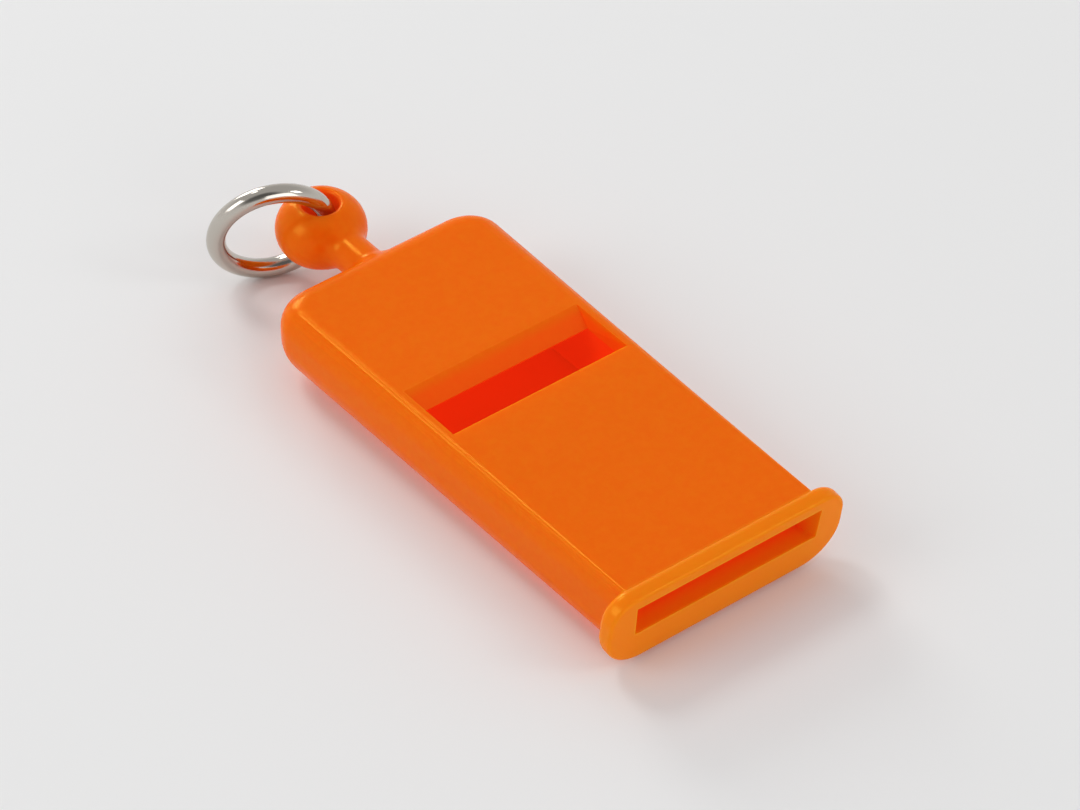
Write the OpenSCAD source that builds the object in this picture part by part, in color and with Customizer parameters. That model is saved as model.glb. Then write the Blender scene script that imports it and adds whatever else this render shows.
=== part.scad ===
// Flat sports whistle with a bead eyelet and a carrying ring, in millimetres.
// X runs along the whistle with the mouth at +X, Y runs across it and Z points up.
// The origin is the centre of the flat underside, where the whistle lies on a table.

/* [Body] */
// Length from the back wall to the top edge of the mouth
body_l = 51.2; // [44.6:0.2:58]
// Width over the two side walls
body_w = 23.0; // [22:0.1:24.2]
// Height from the underside to the flat top
body_h = 8.3; // [8.2:0.1:10]
// Thickness of the side walls
side_wall = 2.35; // [2:0.05:2.6]
// Thickness of the back wall above the ledge
back_wall = 2.2; // [1.9:0.1:3]
// Thickness of the top over the windway
top_wall = 1.0; // [0.8:0.1:1.3]
// Radius of the two back corners seen from above
back_corner_r = 3.6; // [3.5:0.1:4.2]
// Radius along the lower edges
lower_edge_r = 3.5; // [1.5:0.1:3.5]
// Radius along the upper edges
upper_edge_r = 1.8; // [0.4:0.1:1.9]

/* [Window] */
// Distance from the mouth's top edge back to the front edge of the window
window_from_mouth = 26.3; // [22:0.1:30]
// Length of the open slot, from the window's front edge to the labium
slot_l = 5.1; // [4.2:0.1:6]
// Length of the ramp that slopes down to the labium
ramp_l = 2.1; // [1.5:0.1:4]
// Width of the window at the top face
window_w = 19.2; // [18.6:0.1:19.4]
// Depth of the labium's edge below the top face
labium_depth = 1.2; // [0.8:0.1:1.6]
// Thickness left at the labium's edge
labium_edge_t = 0.15; // [0.1:0.05:0.3]

/* [Mouthpiece] */
// Backward slant of the mouth's face, in degrees
mouth_slant = 8.9; // [0:0.1:12]
// Width of the lip that runs round the mouth
lip_w = 25.6; // [24.4:0.1:27]
// Thickness of the lip, from its face to its back
lip_t = 1.9; // [1.5:0.1:2.2]
// Height that the lip stands above the flat top
lip_rise = 0.15; // [0.1:0.05:0.6]
// Height of the lip's bottom edge above the table
lip_lift = 0.4; // [0.4:0.1:1.2]
// Radius of the lip's upper corners
lip_upper_r = 2.6; // [1.3:0.1:3.2]
// Radius of the lip's lower corners
lip_lower_r = 4.0; // [2:0.1:4.4]
// Rounding of the lip's rim at the mouth's face
lip_rim_r = 0.35; // [0.2:0.05:0.6]
// Rounding of the lip's rim at its back
lip_back_r = 0.9; // [0.4:0.1:1.2]
// Width of the mouth's opening at its face
opening_w = 20.3; // [19:0.1:20.6]
// Height of the mouth's opening
opening_h = 3.4; // [2.6:0.05:3.6]
// Length over which the opening narrows to the windway's width
entry_l = 3.0; // [2:0.1:5]
// Height of the windway where it ends at the window
exit_h = 1.1; // [0.8:0.05:1.5]
// Thickness of the front wall under the mouth's opening
front_wall = 2.6; // [2.5:0.1:3.2]

/* [Base plate and windway block] */
// Thickness of the base plate
plate_t = 1.4; // [1:0.1:1.8]
// Width of the ledge that the base plate seats on
ledge_w = 0.6; // [0.4:0.1:0.7]
// Gap round the base plate and beside the windway block
fit_gap = 0.05; // [0.02:0.01:0.1]
// Wall left round the cored pockets of the windway block
core_wall = 1.3; // [1:0.1:1.8]

/* [Eyelet] */
// Distance from the back wall to the middle of the eyelet bead
bead_reach = 7.7; // [7:0.1:9.5]
// Depth of the bead's middle below the flat top
bead_drop = 2.9; // [2.6:0.1:3]
// Largest radius of the bead
bead_r = 4.25; // [4:0.05:4.3]
// Radius of the bead's outer arc
bead_arc_r = 3.2; // [2.9:0.05:3.3]
// Radius of the hole through the bead
hole_r = 1.7; // [1.6:0.05:1.8]
// Rounding of the hole's upper rim
hole_rim_r = 0.4; // [0.3:0.1:0.8]
// Rounding of the hole's lower rim, which the ring swings past
hole_foot_r = 1.0; // [0.9:0.1:1.1]
// Radius of the neck that joins the bead to the body
neck_r = 1.8; // [1.6:0.1:2.2]
// Radius of the fillet where the neck meets the back wall
neck_fillet_r = 0.8; // [0.3:0.1:1]

/* [Carrying ring] */
// Outer diameter of the ring
ring_od = 12.2; // [12:0.1:12.6]
// Diameter of the ring's wire
wire_d = 1.8; // [1.6:0.1:1.9]
// Gap between the wire's two ends, which butt inside the hole
butt_gap = 0.12; // [0.05:0.01:0.3]
// Distance from the hole's axis to the ring's centre
ring_offset = 4.6; // [4.55:0.05:4.7]
// Angle from +X to the ring's centre, seen from above, in degrees
ring_swing = 247; // [60:1:300]
// Lean of the ring from upright, in degrees
ring_lean = 11.5; // [0:0.5:13]
// Height of the ring's centre above the middle of the bead
ring_rise = 0.62; // [0.5:0.01:0.65]

/* [Hidden] */
$fn = 96;
// Overrun of every cutting tool past the surface that it cuts
cut_over = 1.0;
// Overlap where two solids of one moulding are joined
join_over = 0.5;

// Places along X
x_mouth = body_l / 2;
x_back = -body_l / 2;
x_exit = x_mouth - window_from_mouth;
x_labium = x_exit - slot_l;
x_ramp = x_labium - ramp_l;
x_corner = x_back + back_corner_r;
x_chamber = x_back + back_wall;
x_foot = x_mouth - body_h * tan(mouth_slant);
x_front = x_foot - front_wall;
x_bead = x_back - bead_reach;

// Heights above the underside
z_ceiling = body_h - top_wall;
z_labium = body_h - labium_depth;
z_chamber = z_labium - labium_edge_t;
z_sill = z_ceiling - opening_h;
z_exit = z_ceiling - exit_h;
z_bead = body_h - bead_drop;

// Widths of the hollow and of the recess for the base plate
inner_w = body_w - 2 * side_wall;
recess_w = inner_w + 2 * ledge_w;

// Length of the slanted mouth face from the flat top down to the lip's bottom edge
lip_drop = (body_h - lip_lift) / cos(mouth_slant);

// The mouth's face at the height of the sill, and the slope of the windway's floor
x_sill = x_mouth - (body_h - z_sill) * tan(mouth_slant);
floor_slope = (z_sill - z_exit) / (x_sill - x_exit);

// Centre of the bead's outer arc, and the centres of the two rims' roundings
arc_x = bead_r - bead_arc_r;
rim_x = hole_r + hole_rim_r;
rim_z = rounding_z(hole_rim_r);
foot_x = hole_r + hole_foot_r;
foot_z = -rounding_z(hole_foot_r);

// The neck starts half way through the bead's wall
neck_start = (hole_r + bead_r) / 2;

// Radius of the ring's centre line, and the height of its centre
wire_r = wire_d / 2;
ring_r = ring_od / 2 - wire_r;
z_ring = z_bead + ring_rise;
butt_angle = butt_gap / ring_r * 180 / PI;

// Height of the windway's floor at a place along X
function floor_z(x) = z_exit + floor_slope * (x - x_exit);

// Height of a rim rounding of radius r that touches the bead's arc and the hole's wall
function rounding_z(r) = sqrt(pow(bead_arc_r - r, 2) - pow(hole_r + r - arc_x, 2));

// What a rounding of radius r takes off a square outer corner at the origin
module corner_waste(r) {
    difference() {
        translate([-r, -cut_over])
            square([r + cut_over, r + cut_over]);
        translate([-r, r])
            circle(r);
    }
}

// Upright section from a centre line out to a side, rounded at its two outer corners
module edge_profile(reach) {
    difference() {
        square([reach, body_h]);
        translate([reach, 0])
            corner_waste(lower_edge_r);
        translate([reach, body_h])
            mirror([0, 1])
                corner_waste(upper_edge_r);
    }
}

// Solid outside form of the body, behind the slanted face of the mouth
module outer_form() {
    translate([x_corner, 0, 0])
        rotate([90, 0, 90])
            linear_extrude(height = x_mouth - x_corner + cut_over)
                union() {
                    edge_profile(body_w / 2);
                    mirror([1, 0])
                        edge_profile(body_w / 2);
                }
    translate([x_corner + join_over, 0, 0])
        rotate([90, 0, 0])
            linear_extrude(height = body_w - 2 * back_corner_r, center = true)
                mirror([1, 0])
                    edge_profile(back_corner_r + join_over);
    for (side = [0, 1])
        mirror([0, side, 0])
            translate([x_corner, body_w / 2 - back_corner_r, 0])
                rotate_extrude()
                    edge_profile(back_corner_r);
}

// Places a piece in the frame of the mouth's slanted face, whose outward normal is +X
module on_mouth_face() {
    translate([x_mouth, 0, body_h])
        rotate([0, mouth_slant, 0])
            children();
}

// Section of the lip outwards from the origin, with its rim rounded on both faces
module rim_section(reach) {
    difference() {
        translate([0, -lip_t])
            square([reach, lip_t]);
        translate([reach, -lip_t])
            corner_waste(lip_back_r);
        translate([reach, 0])
            mirror([0, 1])
                corner_waste(lip_rim_r);
    }
}

// Straight run of the lip, whose rim lies towards +X
module rim_run(reach, length) {
    rotate([90, 0, 0])
        linear_extrude(height = length, center = true)
            translate([-join_over, 0])
                rim_section(reach + join_over);
}

// Lip round the mouth, with a rounded rim and rounded corners
module lip() {
    upper_y = lip_rise - lip_upper_r;
    lower_y = lip_lower_r - lip_drop;
    half_w = lip_w / 2 - lip_upper_r;
    on_mouth_face()
        rotate([90, 0, 90]) {
            translate([-half_w, lower_y, -lip_t])
                cube([2 * half_w, upper_y - lower_y, lip_t]);
            translate([0, upper_y, 0])
                rotate([0, 0, 90])
                    rim_run(lip_upper_r, 2 * half_w);
            translate([0, lower_y, 0])
                rotate([0, 0, -90])
                    rim_run(lip_lower_r, lip_w - 2 * lip_lower_r);
            for (side = [0, 1])
                mirror([side, 0, 0]) {
                    translate([half_w, (upper_y + lower_y) / 2, 0])
                        rim_run(lip_upper_r, upper_y - lower_y);
                    translate([half_w, upper_y, 0])
                        rotate_extrude()
                            rim_section(lip_upper_r);
                    translate([lip_w / 2 - lip_lower_r, lower_y, 0])
                        rotate_extrude()
                            rim_section(lip_lower_r);
                }
        }
}

// Everything in front of the middle of the lip, where the body's own walls end
module front_waste() {
    on_mouth_face()
        translate([-lip_t / 2, -lip_w, -body_l])
            cube([body_l, 2 * lip_w, 2 * body_l]);
}

// Air passage through the mouth's opening to the hollow of the body
module windway_cut() {
    x_out = x_mouth + cut_over;
    x_in = x_front - cut_over;
    intersection() {
        rotate([90, 0, 0])
            linear_extrude(height = lip_w, center = true)
                polygon([[x_in, floor_z(x_in)], [x_out, floor_z(x_out)],
                         [x_out, z_ceiling], [x_in, z_ceiling]]);
        linear_extrude(height = body_h)
            polygon([[x_in, -inner_w / 2], [x_mouth - entry_l, -inner_w / 2],
                     [x_mouth, -opening_w / 2], [x_out, -opening_w / 2],
                     [x_out, opening_w / 2], [x_mouth, opening_w / 2],
                     [x_mouth - entry_l, inner_w / 2], [x_in, inner_w / 2]]);
    }
}

// Window in the top, with the ramp that ends in the labium and side walls that lean inwards
module window_cut() {
    z_out = body_h + cut_over;
    lean = (window_w - inner_w) / 2 / (body_h - z_chamber);
    intersection() {
        rotate([90, 0, 0])
            linear_extrude(height = lip_w, center = true)
                polygon([[x_labium, z_chamber - cut_over], [x_exit, z_chamber - cut_over],
                         [x_exit, z_out], [x_ramp - cut_over * ramp_l / labium_depth, z_out],
                         [x_labium, z_labium]]);
        translate([x_mouth, 0, 0])
            rotate([90, 0, -90])
                linear_extrude(height = body_l)
                    polygon([[-inner_w / 2, 0], [inner_w / 2, 0], [inner_w / 2, z_chamber],
                             [window_w / 2 + lean * cut_over, z_out],
                             [-window_w / 2 - lean * cut_over, z_out],
                             [-inner_w / 2, z_chamber]]);
    }
}

// Sounding chamber, and the room for the windway block with the air passage above it
module hollow_cut() {
    translate([x_chamber, -inner_w / 2, -cut_over])
        cube([x_front - x_chamber, inner_w, z_chamber + cut_over]);
    translate([x_labium, -inner_w / 2, -cut_over])
        cube([x_front - x_labium, inner_w, z_ceiling + cut_over]);
}

// Recess in the underside, with a gap of its own round the base plate
module recess_block(gap, depth) {
    translate([x_chamber - ledge_w + gap, gap - recess_w / 2, -cut_over])
        cube([x_front - x_chamber + 2 * (ledge_w - gap), recess_w - 2 * gap, depth + cut_over]);
}

// Section of the bead on one side of its upright axis
module bead_profile() {
    far = 2 * bead_r / bead_arc_r;
    intersection() {
        translate([arc_x, 0])
            circle(bead_arc_r);
        polygon([[arc_x, 0], [arc_x + far * (rim_x - arc_x), far * rim_z],
                 [arc_x + far * bead_arc_r, 0],
                 [arc_x + far * (foot_x - arc_x), far * foot_z]]);
        translate([hole_r, -bead_r])
            square([bead_r, 2 * bead_r]);
    }
    polygon([[hole_r, foot_z], [foot_x, foot_z], [rim_x, rim_z], [hole_r, rim_z]]);
    translate([rim_x, rim_z])
        circle(hole_rim_r);
    translate([foot_x, foot_z])
        circle(hole_foot_r);
}

// Bead with its hole, on the neck that carries it
module eyelet() {
    translate([x_bead, 0, z_bead])
        rotate_extrude()
            bead_profile();
    translate([x_bead + neck_start, 0, z_bead])
        rotate([0, 90, 0])
            cylinder(h = bead_reach - neck_start + back_wall / 2, r = neck_r);
    intersection() {
        translate([x_back, 0, z_bead])
            rotate([0, -90, 0])
                rotate_extrude()
                    difference() {
                        translate([0, -join_over])
                            square([neck_r + neck_fillet_r, neck_fillet_r + join_over]);
                        translate([neck_r + neck_fillet_r, neck_fillet_r])
                            circle(neck_fillet_r);
                    }
        translate([x_back - body_w, -body_w / 2, lower_edge_r / 2])
            cube([2 * body_w, body_w, body_h - upper_edge_r - lower_edge_r / 2]);
    }
}

// One moulding: top, sides, back wall, lip, neck and eyelet, open underneath
module whistle_body() {
    color("darkorange")
        difference() {
            union() {
                difference() {
                    outer_form();
                    front_waste();
                }
                lip();
                eyelet();
            }
            windway_cut();
            window_cut();
            hollow_cut();
            recess_block(0, plate_t);
        }
}

// Block whose sloping top is the windway's floor, cored from below in two pockets
module windway_block() {
    x_end = x_front - fit_gap;
    rib_x = (x_exit + x_end) / 2;
    color("orange")
        difference() {
            rotate([90, 0, 0])
                linear_extrude(height = inner_w - 2 * fit_gap, center = true)
                    polygon([[x_exit, plate_t], [x_end, plate_t],
                             [x_end, floor_z(x_end)], [x_exit, z_exit]]);
            for (span = [[x_exit + core_wall, rib_x - core_wall / 2],
                         [rib_x + core_wall / 2, x_end - core_wall]])
                rotate([90, 0, 0])
                    linear_extrude(height = inner_w - 2 * core_wall, center = true)
                        polygon([[span[0], 0], [span[1], 0],
                                 [span[1], floor_z(span[1]) - core_wall],
                                 [span[0], floor_z(span[0]) - core_wall]]);
        }
}

// Plate that closes the underside and takes up the lower edges' rounding
module base_plate() {
    color("orangered")
        intersection() {
            outer_form();
            recess_block(fit_gap, plate_t);
        }
}

// Closed wire ring through the eyelet, its two ends butted inside the hole
module jump_ring() {
    color("silver")
        translate([x_bead, 0, z_ring])
            rotate([0, 0, ring_swing])
                translate([ring_offset, 0, 0])
                    rotate([90 - ring_lean, 0, 0])
                        rotate([0, 0, 180 + butt_angle / 2])
                            rotate_extrude(angle = 360 - butt_angle)
                                translate([ring_r, 0])
                                    circle(wire_r);
}

whistle_body();
windway_block();
base_plate();
jump_ring();
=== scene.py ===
# A flat plastic sports whistle with a wire carrying ring, lying on a pale table.
import math

import bmesh
import bpy
from mathutils import Matrix, Vector


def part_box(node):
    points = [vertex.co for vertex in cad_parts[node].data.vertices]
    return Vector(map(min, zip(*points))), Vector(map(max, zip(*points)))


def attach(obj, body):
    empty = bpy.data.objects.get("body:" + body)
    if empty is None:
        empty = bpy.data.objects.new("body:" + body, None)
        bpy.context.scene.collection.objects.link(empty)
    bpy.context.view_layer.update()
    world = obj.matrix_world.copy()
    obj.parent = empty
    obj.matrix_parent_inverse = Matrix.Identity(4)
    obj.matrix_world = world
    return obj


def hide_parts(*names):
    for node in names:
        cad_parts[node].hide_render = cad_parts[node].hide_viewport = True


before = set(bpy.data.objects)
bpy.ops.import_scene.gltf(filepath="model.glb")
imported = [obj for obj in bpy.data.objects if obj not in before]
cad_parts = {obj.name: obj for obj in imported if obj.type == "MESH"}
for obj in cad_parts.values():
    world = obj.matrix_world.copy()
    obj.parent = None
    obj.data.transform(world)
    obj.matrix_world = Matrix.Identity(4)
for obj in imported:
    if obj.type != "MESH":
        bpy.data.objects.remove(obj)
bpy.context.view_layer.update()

# Camera.
# It stands where the photograph was taken from, with a long lens, and looks at a point
# of the flat top just behind the front edge of the window.
view_azimuth = math.radians(52.09)
view_elevation = math.radians(41.37)
view_distance = 0.47673
view_lens = 182.08
aim_back = 0.0001
aim_right = -0.00003
aim_up = -0.00139
flat_top = 0.0083
film_width = 36
clip_range = (0.01, 20)

window_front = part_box("windway_block")[0].x
back = Vector((
    math.sin(view_azimuth) * math.cos(view_elevation),
    -math.cos(view_azimuth) * math.cos(view_elevation),
    math.sin(view_elevation),
))
right = Vector((math.cos(view_azimuth), math.sin(view_azimuth), 0))
up = back.cross(right)
aim = Vector((window_front - aim_back, 0, flat_top)) + right * aim_right + up * aim_up
camera = bpy.data.objects.new("camera", bpy.data.cameras.new("camera"))
camera.data.lens = view_lens
camera.data.sensor_width = film_width
camera.data.clip_start, camera.data.clip_end = clip_range
camera.location = aim + back * view_distance
camera.rotation_euler = Matrix((right, up, back)).transposed().to_euler()
bpy.context.scene.collection.objects.link(camera)
bpy.context.scene.camera = camera
bpy.context.scene.view_settings.view_transform = "Standard"

# Table and light.
# A wide pale table stands in a pale room that is brighter towards its walls and dark round
# the camera. A large softbox fills the near side. Small ones give the highlights.
table_size = 3.0
table_gap = 0.00001
table_colour = (0.865, 0.865, 0.865, 1)
wall_strength = 0.81
ceiling_strength = 0.54
dark_corner = (0.80, 0.97)
dark_share = 0.25
wall_top = 0.8
table_roughness = 0.9
table_specular = 0.1

grid = bmesh.new()
bmesh.ops.create_grid(grid, x_segments=1, y_segments=1, size=table_size / 2)
bmesh.ops.translate(grid, verts=grid.verts, vec=(0, 0, -table_gap))
table_mesh = bpy.data.meshes.new("table")
grid.to_mesh(table_mesh)
grid.free()
table = bpy.data.objects.new("table", table_mesh)
bpy.context.scene.collection.objects.link(table)

table_finish = bpy.data.materials.new("pale table")
table_finish.use_nodes = True
shader = table_finish.node_tree.nodes["Principled BSDF"]
shader.inputs["Base Color"].default_value = table_colour
shader.inputs["Roughness"].default_value = table_roughness
shader.inputs["Specular IOR Level"].default_value = table_specular
table_mesh.materials.append(table_finish)


def node(tree, kind, **inputs):
    """Adds a shader node of that kind and sets its plain inputs."""
    made = tree.nodes.new(kind)
    for name, value in inputs.items():
        made.inputs[name.replace("_", " ")].default_value = value
    return made


def ramp(tree, source, start, end, low=0.0, high=1.0):
    """A smooth step from low to high while source goes from start to end."""
    made = node(tree, "ShaderNodeMapRange", From_Min=start, From_Max=end, To_Min=low, To_Max=high)
    made.interpolation_type = "SMOOTHSTEP"
    tree.links.new(source, made.inputs["Value"])
    return made.outputs["Result"]


def maths(tree, operation, first, second):
    """A maths node on two sources, of which the second may be a number."""
    made = tree.nodes.new("ShaderNodeMath")
    made.operation = operation
    tree.links.new(first, made.inputs[0])
    if isinstance(second, float):
        made.inputs[1].default_value = second
    else:
        tree.links.new(second, made.inputs[1])
    return made.outputs["Value"]


world = bpy.data.worlds.new("pale room")
world.use_nodes = True
room = world.node_tree
direction = node(room, "ShaderNodeTexCoord")
heading = node(room, "ShaderNodeSeparateXYZ")
room.links.new(direction.outputs["Generated"], heading.inputs["Vector"])
level = ramp(room, heading.outputs["Z"], 0.0, wall_top, wall_strength, ceiling_strength)
facing = room.nodes.new("ShaderNodeVectorMath")
facing.operation = "DOT_PRODUCT"
facing.inputs[1].default_value = back
room.links.new(direction.outputs["Generated"], facing.inputs[0])
shade = ramp(room, facing.outputs["Value"], *dark_corner, 1.0, dark_share)
room.nodes["Background"].inputs["Color"].default_value = (1, 1, 1, 1)
room.links.new(maths(room, "MULTIPLY", level, shade), room.nodes["Background"].inputs["Strength"])
bpy.context.scene.world = world


def softbox(name, towards, distance, size, power):
    """A square area lamp that faces the origin, with its direction, distance and size."""
    lamp = bpy.data.lights.new(name, "AREA")
    lamp.size = size
    lamp.energy = power
    obj = bpy.data.objects.new(name, lamp)
    obj.location = Vector(towards).normalized() * distance
    obj.rotation_euler = Vector(towards).to_track_quat("Z", "Y").to_euler()
    bpy.context.scene.collection.objects.link(obj)


softbox("near side softbox", (-0.25, -0.80, 0.55), 1.0, 0.50, 1.8)
softbox("back softbox", (-0.59, -0.07, 0.80), 0.9, 0.22, 1.1)
softbox("low back softbox", (-0.90, 0.15, 0.39), 0.9, 0.35, 2.0)
softbox("front softbox", (0.66, 0.46, 0.59), 0.9, 0.22, 0.6)
softbox("low front softbox", (0.95, -0.10, 0.25), 0.9, 0.60, 1.6)

# Whistle shell.
# The one moulding with the top, the sides, the lip and the eyelet, in a bright translucent
# plastic. It is a copy of the solid, drawn in towards the mouth, with its upper edges
# crisper there than at the back and a neck that flows into the bead and the back wall.
orange = (0.84, 0.126, 0.002, 1)
# Painted highlight: a yellower orange for the edges and the lip; the random tone also mixes in a
# little of it.
painted_highlight_and_tone_yellow = (0.86, 0.320, 0.008, 1)
# Painted shade: the deep red inside the hollow, on the recess and in the eyelet's hole.
painted_hollow_shade = (0.88, 0.030, 0.002, 1)
# Painted glow: a faint red emission over all the plastic that lifts its shade.
painted_glow = (0.06, 0.001, 0, 1)
# Painted glow: red emission inside the hollow that keeps it bright.
painted_hollow_glow = (0.17, 0.016, 0.002, 1)
# Painted glow: red emission at the foot, which throws a red shine on the table.
painted_foot_glow = (0.46, 0.04, 0.02, 1)
foot_height = 0.0011
shine = (1.0, 15.0, 2.0, 1)
# Painted shade: share of red on the recess below the flat top.
painted_recess_shade = 0.45
edge_reach = 0.0006
lip_reach = (0.0022, 0.0016)
# Painted highlight: how far the lip near the mouth face turns yellow.
painted_lip_highlight = 0.45
hollow_side = 0.0098
hollow_top = 0.0071
hollow_floor = 0.0014
hollow_back = -0.0236
mouth_top = 0.0256
mouth_slope = math.tan(math.radians(8.9))
mouth_fade = (0.0003, 0.0034)
bead_x = -0.0333
hole_edge = (0.0023, 0.0017)
# Painted shade: share of red inside the eyelet's hole.
painted_hole_shade = 0.6
edge_samples = 6
edge_turn = 0.86
edge_share_most = 0.8
cloud_scale = 1500
cloud_range = (0.3, 0.7)
cloud_yellow = 0.08
satin_roughness = (0.18, 0.26)
metal_share = 0.06
specular_level = 0.03
light_reach = (1.0, 0.25, 0.05)
light_reach_scale = 0.003
light_reach_share = 0.6
grain_scale = 2500
grain_strength = 0.15
grain_depth = 0.00002


def mix(tree, share, first, second):
    """Mixes two colours, each given plainly or as a source, by a share."""
    made = tree.nodes.new("ShaderNodeMix")
    made.data_type = "RGBA"
    tree.links.new(share, made.inputs["Factor"])
    for socket, colour in (("A", first), ("B", second)):
        target = next(s for s in made.inputs if s.name == socket and s.type == "RGBA")
        if isinstance(colour, tuple):
            target.default_value = colour
        else:
            tree.links.new(colour, target)
    return next(s for s in made.outputs if s.type == "RGBA")


def mouth_depth(tree, axes):
    """How far a point lies behind the slanted face of the mouth."""
    face = maths(tree, "MULTIPLY_ADD", axes.outputs["Z"], mouth_slope)
    face.node.inputs[2].default_value = mouth_top - flat_top * mouth_slope
    return maths(tree, "SUBTRACT", face, axes.outputs["X"])


def hollow_shares(tree, axes, depth):
    """How far a point lies within the hollow's outline, and inside the hollow, from 0 to 1; the
    second share also carries painted shade on the recess.
    """
    across = maths(tree, "ABSOLUTE", axes.outputs["Y"], 0.0)
    height = axes.outputs["Z"]
    below = ramp(tree, height, hollow_top + edge_reach / 4, hollow_top - edge_reach / 4)
    # Painted shade reddens the recess below the flat top.
    recess = ramp(tree, height, flat_top, flat_top - edge_reach, 0.0, painted_recess_shade)
    within = ramp(tree, depth, *mouth_fade)
    for limit in (
        ramp(tree, across, hollow_side + edge_reach / 2, hollow_side),
        ramp(tree, height, hollow_floor - edge_reach / 2, hollow_floor),
        ramp(tree, axes.outputs["X"], hollow_back - edge_reach, hollow_back),
    ):
        within = maths(tree, "MULTIPLY", within, limit)
    return within, maths(tree, "MULTIPLY", within, maths(tree, "MAXIMUM", below, recess))


def hole_share(tree, axes):
    """How far a point lies inside the eyelet's hole, as a share of painted red shade."""
    along = maths(tree, "SUBTRACT", axes.outputs["X"], bead_x)
    squares = maths(tree, "MULTIPLY", along, along)
    across = maths(tree, "MULTIPLY", axes.outputs["Y"], axes.outputs["Y"])
    total = maths(tree, "ADD", squares, across)
    return ramp(tree, total, hole_edge[0] ** 2, hole_edge[1] ** 2, 0.0, painted_hole_shade)


def edge_share(tree):
    """Rises from 0 on open faces to 1 along edges, from a normal rounded over their reach. It
    places the painted yellow highlight along edges.
    """
    rounded = tree.nodes.new("ShaderNodeBevel")
    rounded.samples = edge_samples
    rounded.inputs["Radius"].default_value = edge_reach
    surface = tree.nodes.new("ShaderNodeNewGeometry")
    facing = tree.nodes.new("ShaderNodeVectorMath")
    facing.operation = "DOT_PRODUCT"
    tree.links.new(rounded.outputs["Normal"], facing.inputs[0])
    tree.links.new(surface.outputs["Normal"], facing.inputs[1])
    return ramp(tree, facing.outputs["Value"], 1.0, edge_turn, 0.0, edge_share_most)


def orange_plastic():
    """One orange plastic with a satin skin, painted yellow highlights on edges and lip, painted red
    shade and glows.
    """
    finish = bpy.data.materials.new("orange plastic")
    finish.use_nodes = True
    tree = finish.node_tree
    shader = tree.nodes["Principled BSDF"]
    place = node(tree, "ShaderNodeTexCoord").outputs["Object"]
    axes = node(tree, "ShaderNodeSeparateXYZ")
    tree.links.new(place, axes.inputs["Vector"])
    depth = mouth_depth(tree, axes)
    within, hollow = hollow_shares(tree, axes, depth)
    without = ramp(tree, within, 0.0, 0.5, 1.0, 0.0)
    # Outside the hollow, every edge gets a painted yellow highlight.
    edges = maths(tree, "MULTIPLY", edge_share(tree), without)
    # A painted highlight turns the lip yellow near the mouth face.
    edges = maths(tree, "MAXIMUM", edges, ramp(tree, depth, *lip_reach, 0.0, painted_lip_highlight))
    hollow = maths(tree, "MAXIMUM", hollow, hole_share(tree, axes))

    cloud = node(tree, "ShaderNodeTexNoise", Scale=cloud_scale, Detail=5, Roughness=0.6)
    tree.links.new(place, cloud.inputs["Vector"])
    tone = ramp(tree, cloud.outputs["Fac"], *cloud_range, 0.0, cloud_yellow)
    # Painted highlight on the edges and the lip, together with a random yellower tone.
    colour = mix(tree, maths(tree, "MAXIMUM", edges, tone), orange, painted_highlight_and_tone_yellow)
    # Painted red shade inside the hollow, on the recess and in the eyelet's hole.
    colour = mix(tree, hollow, colour, painted_hollow_shade)
    tree.links.new(colour, shader.inputs["Base Color"])
    # Painted glow at the foot, away from the mouth face.
    foot = ramp(tree, axes.outputs["Z"], foot_height, 0.0)
    foot = maths(tree, "MULTIPLY", foot, ramp(tree, depth, lip_reach[0], 2 * lip_reach[0]))
    # The emission is painted glow: faint over all, stronger at the foot and in the hollow.
    glow = mix(tree, hollow, mix(tree, foot, painted_glow, painted_foot_glow), painted_hollow_glow)
    tree.links.new(glow, shader.inputs["Emission Color"])
    shader.inputs["Emission Strength"].default_value = 1.0
    shader.inputs["Metallic"].default_value = metal_share
    shader.inputs["Specular IOR Level"].default_value = specular_level
    shader.inputs["Specular Tint"].default_value = shine
    shader.inputs["Subsurface Weight"].default_value = light_reach_share
    shader.inputs["Subsurface Radius"].default_value = light_reach
    shader.inputs["Subsurface Scale"].default_value = light_reach_scale
    satin = ramp(tree, cloud.outputs["Fac"], *cloud_range, *satin_roughness)
    tree.links.new(satin, shader.inputs["Roughness"])

    grain = node(tree, "ShaderNodeTexNoise", Scale=grain_scale, Detail=3)
    bump = node(tree, "ShaderNodeBump", Strength=grain_strength, Distance=grain_depth)
    tree.links.new(place, grain.inputs["Vector"])
    tree.links.new(grain.outputs["Fac"], bump.inputs["Height"])
    tree.links.new(bump.outputs["Normal"], shader.inputs["Normal"])
    return finish


plastic = orange_plastic()

merge_gap = 0.000002
flat_angle = math.radians(0.3)
crisp_angle = math.radians(25)
smooth_angle = math.radians(40)
level_share = math.cos(math.radians(0.3))
edge_softness = 0.00006
skin = 0.00002
half_width = 0.0115
back_x = -0.0256
front_x = 0.0220
corner_r = 0.0036
upper_r = 0.0018
lower_r = 0.0035
lip_t = 0.0019
side_growth = (0.00045, -0.00070)
upper_reach = (0.00225, 0.00078)
upper_drop = (0.00240, 0.00260)
lower_radius = (0.0048, 0.0032)
plate_top = 0.0014
recess_corner = 0.0024
recess_pull = 0.81

bead_z = 0.0054
bead_arc_x = 0.00105
bead_arc_r = 0.0032
neck_r = 0.00186
bead_flare = 0.0009
wall_flare = 0.0010
bead_core_x = -0.0309
wall_core_x = -0.0244
flare_steps = 10
neck_sides = 64


def merged_copy(name):
    """A copy of a CAD node's mesh, with doubled points merged and flat parts made one face."""
    shape = bmesh.new()
    shape.from_mesh(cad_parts[name].data)
    bmesh.ops.remove_doubles(shape, verts=shape.verts, dist=merge_gap)
    bmesh.ops.dissolve_limit(
        shape, angle_limit=flat_angle, verts=shape.verts, edges=shape.edges
    )
    return shape


def between(ends, share):
    """The value at a share of the way between two ends."""
    return ends[0] + (ends[1] - ends[0]) * share


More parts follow.
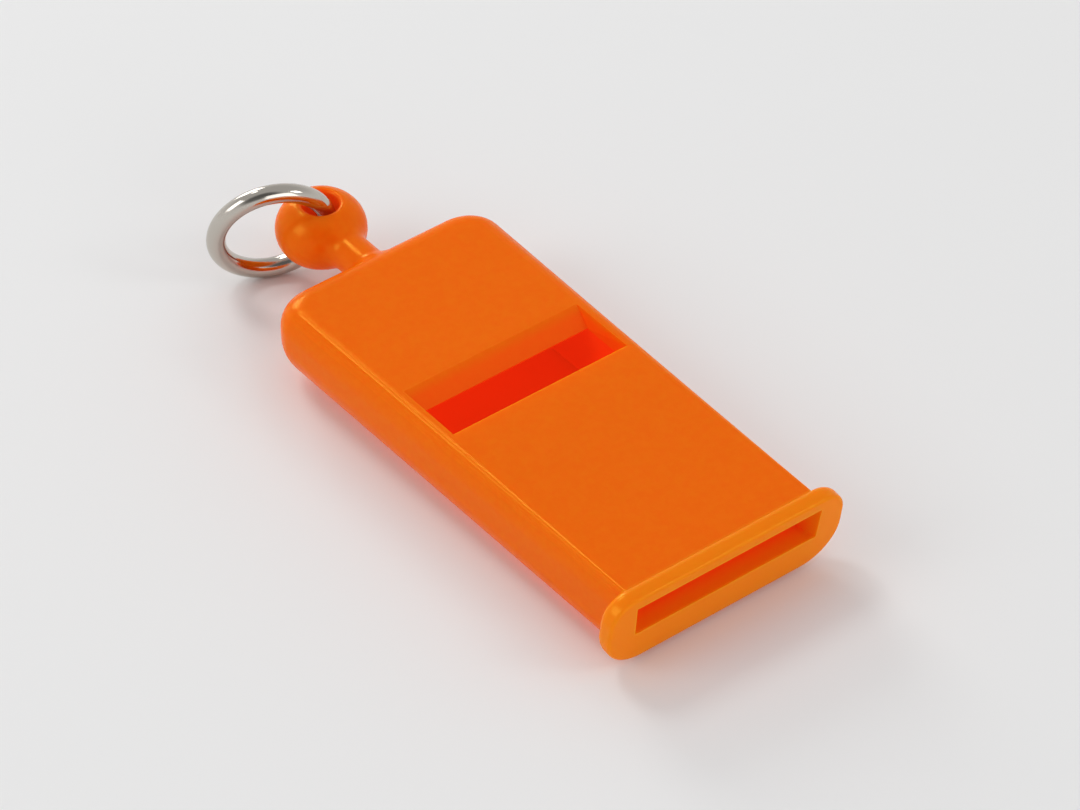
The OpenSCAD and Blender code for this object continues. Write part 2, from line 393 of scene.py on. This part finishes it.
def taper(shape):
    """Moves the points of the body's outer skin from the straight form to the tapered one.

    Where the lower rounding is larger than the corner, its rows meet in a tight mitre. The
    corners of the recess for the base plate are drawn in, so that the rounding covers them.
    """
    core_x = back_x + corner_r
    core_y = half_width - corner_r
    for vert in shape.verts:
        x, y, z = vert.co
        out_x = min(x - core_x, 0)
        out_y = math.copysign(max(abs(y) - core_y, 0), y)
        reach = math.hypot(out_x, out_y)
        upper = z > flat_top - upper_r - skin
        lower = z < lower_r + skin
        if upper:
            turn = min((z - flat_top + upper_r) / upper_r, 1)
            inset = upper_r - upper_r * math.sqrt(1 - max(turn, 0) ** 2)
        elif lower:
            turn = min((lower_r - z) / lower_r, 1)
            inset = lower_r - lower_r * math.sqrt(1 - max(turn, 0) ** 2)
        else:
            inset = 0
        depth = mouth_top - (flat_top - z) * mouth_slope - x
        if reach < skin or abs(reach - corner_r + inset) > skin or depth < lip_t / 2:
            if z < plate_top + skin and out_x and out_y and reach > recess_corner:
                vert.co.x = core_x + out_x * recess_pull
                vert.co.y = math.copysign(core_y, y) + out_y * recess_pull
            continue
        share = min(max((x - core_x) / (front_x - core_x), 0), 1)
        growth = between(side_growth, share)
        new_reach = corner_r + growth * (out_y / reach) ** 2
        back_reach = corner_r
        new_z = z
        if upper:
            new_reach -= inset * between(upper_reach, share) / upper_r
            new_z = flat_top - (flat_top - z) * between(upper_drop, share) / upper_r
        elif lower:
            new_reach -= inset * between(lower_radius, share) / lower_r
            back_reach -= inset * between(lower_radius, share) / lower_r
            new_z = z * between(lower_radius, share) / lower_r
        if back_reach < 0:
            side_reach = back_reach + growth
            vert.co.x = max(x, core_x - back_reach) + skin * out_x / reach
            side = min(abs(y), core_y + min(side_reach, 0))
            side += max(side_reach, skin) * abs(out_y) / reach
            vert.co.y = math.copysign(side, y)
        else:
            scale = new_reach / reach
            if out_x:
                vert.co.x = core_x + out_x * scale
            if out_y:
                vert.co.y = math.copysign(core_y, y) + out_y * scale
        vert.co.z = new_z
        if depth < lip_t:
            vert.co.x += (new_z - z) * mouth_slope
    shape.normal_update()


def soften(shape, width):
    """Rounds every edge that turns outwards sharply."""
    crisp = [
        edge for edge in shape.edges
        if len(edge.link_faces) == 2 and edge.calc_face_angle_signed(0) > crisp_angle
    ]
    bmesh.ops.bevel(
        shape, geom=crisp, offset=width, offset_type="OFFSET", segments=3, profile=0.5,
        affect="EDGES", clamp_overlap=True, material=-1,
    )


def bead_surface(y, z):
    """Place along X of the bead's skin on the side of the neck."""
    radius = bead_arc_x + math.sqrt(bead_arc_r ** 2 - (z - bead_z) ** 2)
    return bead_x + math.sqrt(radius ** 2 - y ** 2)


def wall_surface(z):
    """Place along X of the back wall's skin, with its upper and lower rounding."""
    drop, radius = upper_drop[0], lower_radius[0]
    if z > flat_top - drop:
        turn = min((z - flat_top + drop) / drop, 1)
        return back_x + upper_reach[0] * (1 - math.sqrt(1 - turn ** 2))
    turn = max((radius - z) / radius, 0)
    return back_x + radius * (1 - math.sqrt(1 - turn ** 2))


def flared_neck():
    """A closed sleeve over the neck, blended into the bead at one end and the wall at the other."""
    sleeve = bmesh.new()
    near_bead = sleeve.verts.layers.int.new("near bead")
    near_wall = sleeve.verts.layers.int.new("near wall")
    turns = [math.pi / 2 * step / flare_steps for step in range(flare_steps + 1)]
    profile = [sleeve.verts.new((bead_core_x, 0, 0))]
    for angle in reversed(turns):
        radius = neck_r + bead_flare * (1 - math.cos(angle))
        profile.append(sleeve.verts.new((bead_flare * (1 - math.sin(angle)) - skin, 0, radius)))
    at_bead = len(profile)
    for angle in turns:
        radius = neck_r + wall_flare * (1 - math.cos(angle))
        profile.append(sleeve.verts.new((skin - wall_flare * (1 - math.sin(angle)), 0, radius)))
    profile.append(sleeve.verts.new((wall_core_x, 0, 0)))
    edges = [sleeve.edges.new(pair) for pair in zip(profile, profile[1:])]
    for vert in profile[1:at_bead]:
        vert[near_bead] = 1
    for vert in profile[at_bead:-1]:
        vert[near_wall] = 1
    bmesh.ops.spin(
        sleeve, geom=profile + edges, cent=(0, 0, 0), axis=(1, 0, 0), angle=math.tau,
        steps=neck_sides, use_merge=True, use_duplicate=False, dvec=(0, 0, 0),
    )
    bmesh.ops.remove_doubles(sleeve, verts=sleeve.verts, dist=merge_gap)
    for vert in sleeve.verts:
        vert.co.z += bead_z
        if vert[near_bead]:
            vert.co.x += bead_surface(vert.co.y, vert.co.z)
        elif vert[near_wall]:
            vert.co.x += wall_surface(vert.co.z)
    bmesh.ops.recalc_face_normals(sleeve, faces=sleeve.faces)
    return sleeve


def united(shape, other):
    """One closed shape from two that overlap."""
    parts = []
    for part in (shape, other):
        mesh = bpy.data.meshes.new("part")
        part.to_mesh(mesh)
        part.free()
        parts.append(bpy.data.objects.new("part", mesh))
        bpy.context.scene.collection.objects.link(parts[-1])
    union = parts[0].modifiers.new("union", "BOOLEAN")
    union.operation = "UNION"
    union.solver = "MANIFOLD"
    union.object = parts[1]
    whole = bmesh.new()
    whole.from_mesh(parts[0].evaluated_get(bpy.context.evaluated_depsgraph_get()).to_mesh())
    for part in parts:
        mesh = part.data
        bpy.data.objects.remove(part)
        bpy.data.meshes.remove(mesh)
    return whole


def finished(shape, name, body, finish):
    """Turns a bmesh into a smooth-shaded piece that rides on a CAD body."""
    mesh = bpy.data.meshes.new(name)
    for face in shape.faces:
        face.smooth = True
    for edge in shape.edges:
        level = [face.normal.z > level_share for face in edge.link_faces]
        edge.smooth = len(set(level)) == 1 and edge.calc_face_angle(0) < smooth_angle
    shape.to_mesh(mesh)
    shape.free()
    mesh.materials.append(finish)
    piece = bpy.data.objects.new(name, mesh)
    bpy.context.scene.collection.objects.link(piece)
    weighted = piece.modifiers.new("weighted normals", "WEIGHTED_NORMAL")
    weighted.keep_sharp = True
    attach(piece, body)
    return piece


shell_shape = merged_copy("whistle_body")
taper(shell_shape)
soften(shell_shape, edge_softness)
shell_shape = united(shell_shape, flared_neck())
shell = finished(shell_shape, "whistle_shell", "whistle", plastic)
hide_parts("whistle_body")

# Base plate and windway block.
# The plate closes the underside and follows the sides' taper. The block behind the mouth
# is seen only through the window and the mouth. Both are of the same plastic.
plate_shape = merged_copy("base_plate")
taper(plate_shape)
soften(plate_shape, edge_softness / 2)
plate = finished(plate_shape, "fitted_base_plate", "whistle", plastic)
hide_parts("base_plate")

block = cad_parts["windway_block"]
block.data.materials.clear()
block.data.materials.append(plastic)

# Carrying ring.
# One turn of round steel wire, nickel plated and polished, its ends butted in the eyelet.
nickel_colour = (0.56, 0.52, 0.465, 1)
nickel_roughness = (0.10, 0.18)
nickel_cloud_scale = 400


def polished_nickel():
    """Polished nickel plate whose shine varies a little along the wire."""
    finish = bpy.data.materials.new("polished nickel")
    finish.use_nodes = True
    tree = finish.node_tree
    shader = tree.nodes["Principled BSDF"]
    shader.inputs["Base Color"].default_value = nickel_colour
    shader.inputs["Metallic"].default_value = 1.0
    place = node(tree, "ShaderNodeTexCoord")
    cloud = node(tree, "ShaderNodeTexNoise", Scale=nickel_cloud_scale, Detail=4)
    tree.links.new(place.outputs["Object"], cloud.inputs["Vector"])
    polish = ramp(tree, cloud.outputs["Fac"], *cloud_range, *nickel_roughness)
    tree.links.new(polish, shader.inputs["Roughness"])
    return finish


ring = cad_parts["jump_ring"]
ring.data.materials.clear()
ring.data.materials.append(polished_nickel())
